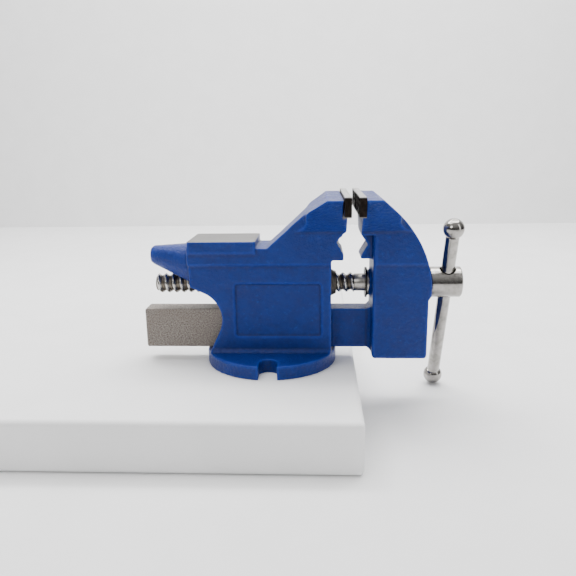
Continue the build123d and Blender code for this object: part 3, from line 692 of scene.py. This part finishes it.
for node, place, way in (("handle_knob_upper", UP, 1), ("handle_knob_lower", -DOWN, -1)):
    outline = [(along * way, radius) for along, radius in knob_profile()]
    knob = lathe(node, outline, BAR_CENTRE + HANDLE_AXIS * place * MM, HANDLE_AXIS, 96)
    show(node + "_turned", knob, "handle", node, handle_steel, 30)

# ---------------------------------------------------------------- bench, floor, light and camera
# The vise stands on the end of a pale bench, with its handle beyond the bench's edge, on a pale floor
# under soft studio light. Bench, floor and wall are in millimetres, lights and camera in metres.
BENCH_TOP = -0.02
BENCH_END = 72
FLOOR_TOP = -40
WALL_FACE = 1200


def pale_ground():
    """Matt, nearly white, and very slightly uneven."""
    s = Shader("pale_ground")
    tone = s.ramp(s.noise(60.0, 3.0), 0.3, 0.7, 0.97, 1.0)
    shade = s.add("ShaderNodeMix", {0: 1.0}, data_type="RGBA", blend_type="MULTIPLY")
    s.join(srgb(238, 238, 238), shade.inputs[6])
    s.join(tone, shade.inputs[7])
    return s.surface(shade.outputs[2], 0.0, 0.8, s.bump(s.noise(3.0), 0.01))


def slab(name, x, y, z, material, rounding=0):
    """Block between two limits on each axis, with its edges rounded."""
    bm = bmesh.new()
    bmesh.ops.create_cube(bm, size=1.0)
    for v in bm.verts:
        v.co = Vector((x[v.co.x > 0], y[v.co.y > 0], z[v.co.z > 0])) * MM
    obj = add_object(name, mesh_from(bm, name))
    obj.data.materials.append(material)
    if rounding:
        edge = obj.modifiers.new("edge", "BEVEL")
        edge.width = rounding * MM
        edge.segments = 5


pale = pale_ground()
slab("bench", (-1500, BENCH_END), (-130, 260), (FLOOR_TOP + 0.1, BENCH_TOP), pale, 4)
slab("floor", (-3000, 3000), (-1600, WALL_FACE), (FLOOR_TOP - 20, FLOOR_TOP), pale)
slab("wall", (-3000, 3000), (WALL_FACE, WALL_FACE + 20), (FLOOR_TOP - 20, 2400), pale)


def studio_world():
    """Dim below the horizon, rising to white overhead."""
    world = bpy.data.worlds.new("studio")
    bpy.context.scene.world = world
    world.use_nodes = True
    tree = world.node_tree
    tree.nodes.clear()
    coords = tree.nodes.new("ShaderNodeTexCoord")
    parts = tree.nodes.new("ShaderNodeSeparateXYZ")
    lift = tree.nodes.new("ShaderNodeMapRange")
    ramp = tree.nodes.new("ShaderNodeValToRGB")
    background = tree.nodes.new("ShaderNodeBackground")
    output = tree.nodes.new("ShaderNodeOutputWorld")
    lift.inputs[1].default_value = -1.0
    low, high = ramp.color_ramp.elements
    low.position, low.color = 0.5, (0.05, 0.05, 0.055, 1)
    high.position, high.color = 0.9, (1.0, 1.0, 1.0, 1)
    background.inputs[1].default_value = 0.7
    tree.links.new(coords.outputs["Generated"], parts.inputs[0])
    tree.links.new(parts.outputs["Z"], lift.inputs[0])
    tree.links.new(lift.outputs[0], ramp.inputs[0])
    tree.links.new(ramp.outputs[0], background.inputs[0])
    tree.links.new(background.outputs[0], output.inputs[0])


def softbox(name, place, aim, width, height, power):
    """Rectangular light at place, facing aim."""
    light = bpy.data.lights.new(name, "AREA")
    light.shape = "RECTANGLE"
    light.size = width
    light.size_y = height
    light.energy = power
    obj = add_object(name, light)
    obj.location = place
    obj.rotation_euler = (Vector(aim) - Vector(place)).to_track_quat("-Z", "Y").to_euler()


def studio_camera(place, lens, yaw, pitch, roll):
    """Camera at place that looks along +Y, turned left by yaw, down by pitch and then by roll."""
    camera = add_object("camera", bpy.data.cameras.new("camera"))
    camera.data.sensor_width = 36.0
    camera.data.lens = lens
    camera.data.clip_start = 0.01
    ahead = Vector((-math.sin(yaw) * math.cos(pitch), math.cos(yaw) * math.cos(pitch), -math.sin(pitch)))
    right = Vector((math.cos(yaw), math.sin(yaw), 0))
    up = right.cross(ahead)
    across = right * math.cos(roll) + up * math.sin(roll)
    upward = up * math.cos(roll) - right * math.sin(roll)
    camera.matrix_world = Matrix.Translation(place) @ Matrix((across, upward, -ahead)).transposed().to_4x4()
    bpy.context.scene.camera = camera


studio_world()
softbox("top_light", (0.0, 0.25, 1.2), (0.02, 0.15, 0.0), 1.6, 1.0, 30)
softbox("wall_light", (0.0, 0.55, 1.5), (0.0, 1.2, 0.2), 2.4, 0.4, 34)
softbox("front_light", (-0.7, -1.0, 0.75), (0.02, 0, 0.07), 0.5, 0.5, 4.5)
softbox("right_strip", (0.9, -0.5, 0.45), (0.1, 0, 0.07), 0.12, 0.9, 2)
studio_camera(
    (0.03993, -0.49806, 0.18194), 37.24, math.radians(2.9), math.radians(13.46), math.radians(-0.84)
)
